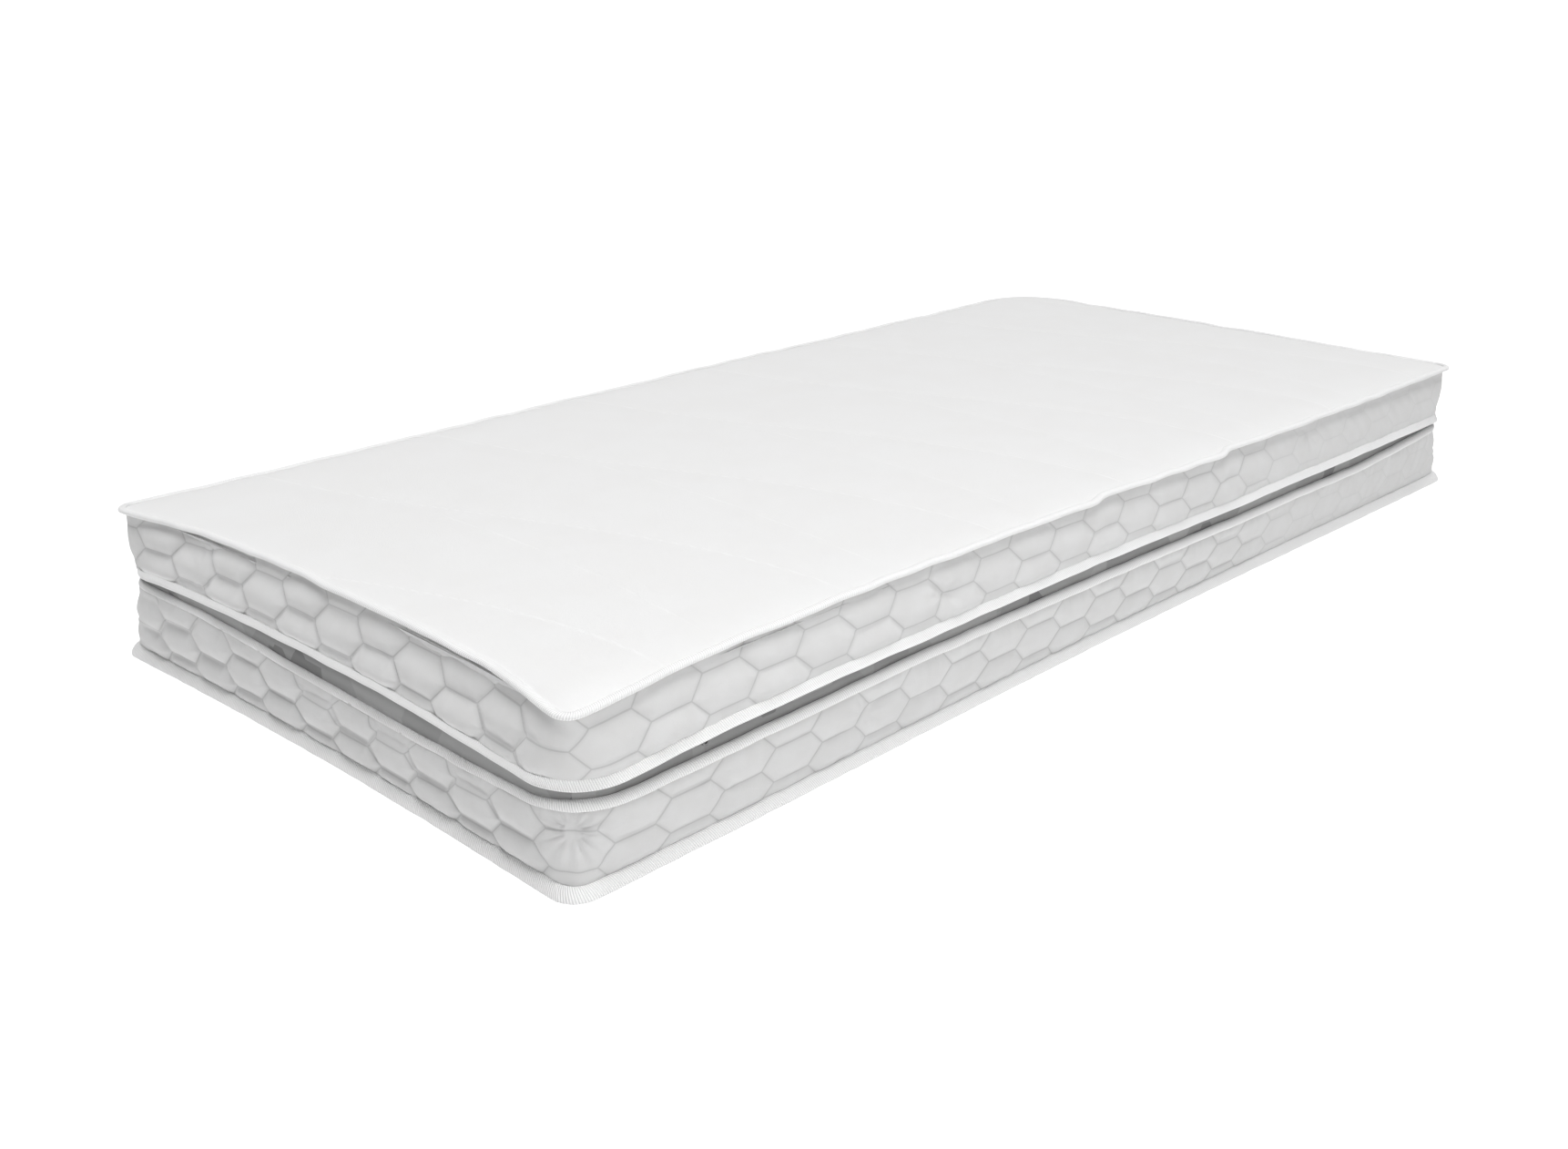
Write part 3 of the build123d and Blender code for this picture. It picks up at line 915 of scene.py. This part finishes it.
def band(name, node, thickness, material, body, bulge=0.0, tucked=False):
    """A thin flat band with the same section as a CAD one; a tucked one starts under the lower tape."""
    low, high = cad(node)
    out = WAIST_INSET - (HALF_LENGTH - high[0])
    section = [(out, low[2]), (out, high[2]), (out - thickness, high[2]), (out - thickness, low[2])]
    p = round_places(6.0)
    rows = []
    for x, z in section:
        height = lower_tape_high(p) - GUSSET_TUCK if tucked and z == low[2] else z + 0 * p
        rows.append((WAIST_INSET, WAIST_RADIUS, x - bow(p, WAIST_BOW) + bulge, height))
    width = high[2] - low[2]
    across = np.array([0.0, width, width + thickness, 0.0, thickness])
    piece = sweep(name, p, rows, np.append(p, PERIMETER), across, material, body, node)


band("gusset", "gusset_band", GUSSET_THICKNESS, "gusset_fabric", "lower_cover", GUSSET_BULGE, True)
band("upper_tape_of_zip", "upper_zip_tape", ZIP_TAPE_THICKNESS, "zip_tape", "top_cover")
band("lower_tape_of_zip", "lower_zip_tape", ZIP_TAPE_THICKNESS, "zip_tape", "lower_cover")


# ---------------------------------------------------------------- zip teeth

TOOTH_PITCH = 2.0
TOOTH_THICKNESS = 2.6
# A tooth's outline, along the row and up from its root as a share of its height
TOOTH = [(-0.62, 0.0), (0.62, 0.0), (0.62, 0.55), (0.3, 1.0), (-0.3, 1.0), (-0.62, 0.55)]


def teeth(name, node, points_up, first, last, body):
    """A row of moulded teeth from place first to place last; each points at the other row."""
    low, high = cad(node)
    outer = WAIST_INSET - (HALF_LENGTH - high[0])
    root, tip = (low[2], high[2]) if points_up else (high[2], low[2])
    p = np.arange(first + TOOTH_PITCH / 2, last, TOOTH_PITCH)
    columns = []
    for out in (outer, outer - TOOTH_THICKNESS):
        for along, up in TOOTH:
            height = root + (tip - root) * up
            columns.append(place(p + along, WAIST_INSET, WAIST_RADIUS, out - bow(p, WAIST_BOW), height))
    points = np.stack(columns, axis=1)
    n = len(TOOTH)
    base = [[0, 1, 2, 5], [5, 2, 3, 4], [n, n + 5, n + 2, n + 1], [n + 5, n + 4, n + 3, n + 2]]
    base += [[k, k + n, (k + 1) % n + n, (k + 1) % n] for k in range(n)]
    faces = (np.array(base)[None] + (np.arange(len(p)) * 2 * n)[:, None, None]).reshape(-1, 4)
    points = points.reshape(-1, 3)
    make_piece(name, points, faces, points[faces], "zip_coil", body, node)


coil_end = cad("zip_end_stop")[0][0] + HALF_LENGTH - 6.0 + PERIMETER
upper_start = cad("zip_end_stop")[1][0] + HALF_LENGTH
lower_start = cad("slider_body")[1][0] + HALF_LENGTH + 0.5
teeth("upper_teeth", "upper_zip_coil", False, upper_start, coil_end, "top_cover")
teeth("lower_teeth", "lower_zip_coil", True, lower_start, coil_end, "lower_cover")


# ---------------------------------------------------------------- panels

PANEL_STEP = 6.0
CROWN_RISE = 3.0


def quilt_distances(points):
    """Distances to the strong and faint quilting lines of the top panel."""
    x = points[..., 0] + HALF_LENGTH
    y = points[..., 1] + HALF_WIDTH
    strong = 0.92 * fold(x - wave_line(y), WAVE_PERIOD / 2)
    faint = fold(x - arc_line(y), WAVE_PERIOD / 2) + np.clip(np.abs(y - 310.0) - 260.0, 0, None) * 0.6
    return strong, faint


def top_height(points, share):
    """The top panel's height: a crown that falls to the edge, with quilted hollows."""
    strong, faint = quilt_distances(points)
    edge = points[..., 2]
    hollow = 1.3 * (1 - puff(strong, 40.0)) + 0.8 * (1 - puff(faint, 30.0))
    return edge + (CROWN + CROWN_RISE - edge - hollow) * share


def inside_top(depth):
    """The top edge's outline, drawn in by depth."""
    return lambda p: top_inset(p) + depth, lambda p: top_radius(p) - depth


panel_points, panel_share = patch(*inside_top(5.0), lambda p: top_seam(p) - 1.4, PANEL_STEP)
upper_side = panel_points.copy()
upper_side[..., 2] = top_height(panel_points, panel_share)
lower_side = upper_side - [0, 0, FACE]
top_panel = make_piece(
    "top_panel", *closed_pad(upper_side, lower_side), "top_knit", "top_cover", "top_panel_face"
)
strong, faint = quilt_distances(np.concatenate([upper_side.reshape(-1, 3), lower_side.reshape(-1, 3)]))
for attribute_name, values in (("strong", strong), ("faint", faint)):
    attribute = top_panel.data.attributes.new(attribute_name, "FLOAT", "POINT")
    attribute.data.foreach_set("value", values.astype(np.float32))

WADDING_LOW = cad("top_panel_wadding")[0][2]
BACKING_LOW = cad("top_panel_backing")[0][2]
filling_points, filling_share = patch(*inside_top(7.0), lambda p: top_seam(p) - 1.4, 20.0)
filling_top = filling_points.copy()
filling_top[..., 2] = np.maximum(top_height(filling_points, filling_share) - FACE - 0.2, WADDING_LOW + 0.3)
filling_low = filling_points.copy()
filling_low[..., 2] = WADDING_LOW
top_filling = make_piece(
    "top_filling", *closed_pad(filling_top, filling_low), "wadding", "top_cover", "top_panel_wadding"
)

LINING_RADIUS = 40.0
LINING_BOW = (8.0, 22.0)
lining_inset = HALF_LENGTH - cad("top_panel_backing")[1][0] + 6.0
lining = slab("top_lining", lining_inset, LINING_RADIUS, LINING_BOW, BACKING_LOW, WADDING_LOW, 30.0,
              "backing", "top_cover", "top_panel_backing")

BASE_INSET = 5.0
base_top = cad("bottom_panel_face")[1][2]
base = slab("base_panel", BASE_INSET, BOTTOM_RADIUS - 2.0, BOTTOM_BOW, 0.0, base_top, 12.0,
            "base_fabric", "lower_cover", "bottom_panel_face")
base_filling = slab("base_filling", BASE_INSET + 1.0, BOTTOM_RADIUS - 3.0, BOTTOM_BOW, base_top,
                    cad("bottom_panel_wadding")[1][2], 20.0, "wadding", "lower_cover", "bottom_panel_wadding")


# ---------------------------------------------------------------- core

LINER = 1.25
CORE_RADIUS = WAIST_RADIUS - CORE_INSET + WAIST_INSET
for name, node in (("memory_layer", "memory_foam"), ("transition_layer", "transition_foam"),
                   ("support_layer", "support_foam")):
    low, high = cad(node)
    layer = slab(name, CORE_INSET + LINER, CORE_RADIUS - LINER, WAIST_BOW, low[2], high[2], 12.0,
                 node, "core", node)

liner_low, liner_high = cad("inner_liner")
shells = []
for depth in (0.0, LINER):
    shells.append(slab_shape(CORE_INSET + depth, CORE_RADIUS - depth, WAIST_BOW,
                             liner_low[2] + depth, liner_high[2] - depth, 12.0))
outer_points, outer_faces, outer_cloth = shells[0]
inner_points, inner_faces, inner_cloth = shells[1]
liner = make_piece(
    "liner",
    np.concatenate([outer_points, inner_points]),
    np.concatenate([outer_faces, inner_faces[:, ::-1] + len(outer_points)]),
    np.concatenate([outer_cloth, inner_cloth[:, ::-1]]),
    "liner_knit", "core", "inner_liner",
)

for node in ("zip_end_stop", "slider_body", "pull_rivet", "pull_tab"):
    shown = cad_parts[node]
    shown.data.materials.clear()
    shown.data.materials.append(materials["zip_metal"])


# ---------------------------------------------------------------- stage, light and camera

def make_floor():
    """A wide white floor, just under the mattress."""
    size = 60.0
    corners = [(-size, -size, 0), (size, -size, 0), (size, size, 0), (-size, size, 0)]
    mesh = bpy.data.meshes.new("floor")
    mesh.from_pydata(corners, [], [(0, 1, 2, 3)])
    nodes = Nodes("floor_paint", 0.9)
    cloud = nodes.noise(nodes.position(), 900.0)
    nodes.finish(nodes.mix(cloud, grey(0.34), grey(0.36)))
    nodes.shader.inputs["Emission Color"].default_value = grey(1.0)
    nodes.shader.inputs["Emission Strength"].default_value = 0.9
    mesh.materials.append(materials["floor_paint"])
    floor = bpy.data.objects.new("floor", mesh)
    floor.location.z = -0.0005
    scene.collection.objects.link(floor)


def add_sun(name, azimuth, elevation, spread, strength):
    """A far soft light; azimuth is the compass direction that it shines from, from +X towards +Y."""
    light = bpy.data.lights.new(name, "SUN")
    light.energy = strength
    light.angle = math.radians(spread)
    lamp = bpy.data.objects.new(name, light)
    a, e = math.radians(azimuth), math.radians(elevation)
    towards = Vector((math.cos(a) * math.cos(e), math.sin(a) * math.cos(e), math.sin(e)))
    lamp.rotation_euler = towards.to_track_quat("Z", "Y").to_euler()
    lamp.location = towards * 5
    scene.collection.objects.link(lamp)


def add_softbox(name, location, target, size, power):
    """A square lamp at location that faces target."""
    light = bpy.data.lights.new(name, "AREA")
    light.energy = power
    light.size = size
    lamp = bpy.data.objects.new(name, light)
    lamp.location = location
    lamp.rotation_euler = (Vector(location) - Vector(target)).to_track_quat("Z", "Y").to_euler()
    scene.collection.objects.link(lamp)


make_floor()
world = bpy.data.worlds.new("studio")
world.use_nodes = True
world.node_tree.nodes["Background"].inputs["Color"].default_value = (1, 1, 1, 1)
world.node_tree.nodes["Background"].inputs["Strength"].default_value = 0.05
scene.world = world
add_sun("overhead", 0, 88, 50, 3.14)
add_softbox("near_box", (-1.9, -1.9, 1.5), (-0.9, -0.4, 0.1), 1.0, 8.0)
add_softbox("front_box", (-0.3, -2.0, 1.4), (-0.3, -0.4, 0.1), 1.0, 8.0)

camera_data = bpy.data.cameras.new("camera")
camera_data.sensor_width = 36.0
camera_data.lens = 38.99
camera_data.clip_end = 200.0
camera = bpy.data.objects.new("camera", camera_data)
camera.location = (-1.8083, -1.5515, 0.8581)
camera.rotation_euler = (math.radians(90 - 20.56), 0, math.radians(-46.12))
scene.collection.objects.link(camera)
scene.camera = camera
scene.render.resolution_x = 1722
scene.render.resolution_y = 1262
scene.view_settings.view_transform = "Standard"

bpy.context.view_layer.update()
